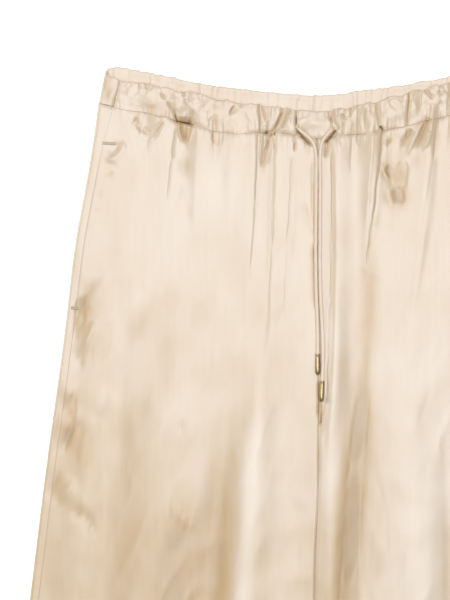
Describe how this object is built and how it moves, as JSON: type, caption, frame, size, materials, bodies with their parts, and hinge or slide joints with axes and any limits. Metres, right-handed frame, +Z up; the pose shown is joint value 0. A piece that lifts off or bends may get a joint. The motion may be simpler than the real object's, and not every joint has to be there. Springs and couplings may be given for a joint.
{
  "type": "drawstring trousers",
  "caption": "Satin pull-on trousers with wide legs, gathered elastic waistband, side pockets and a thin drawstring with brass tips, laid flat with the front up.",
  "frame": {"origin": "centre of the area the trousers cover, on the surface they lie on", "axes": "+Y towards the waistband, +X towards the wearer's left, +Z up out of the surface"},
  "size_m": [0.6732, 1.1145, 0.0133],
  "materials": {
    "champagne_satin": "satin",
    "cord_satin": "satin",
    "brass": "polished"
  },
  "bodies": {
    "root": {"leg_front_right": "champagne_satin", "leg_front_left": "champagne_satin", "leg_back_right": "champagne_satin", "leg_back_left": "champagne_satin", "waistband_front": "champagne_satin", "waistband_back": "champagne_satin", "pocket_bag_right": "champagne_satin", "pocket_bag_left": "champagne_satin", "drawstring_right": "cord_satin", "drawstring_left": "cord_satin", "tip_right": "brass", "tip_left": "brass"}
  },
  "joints": []
}
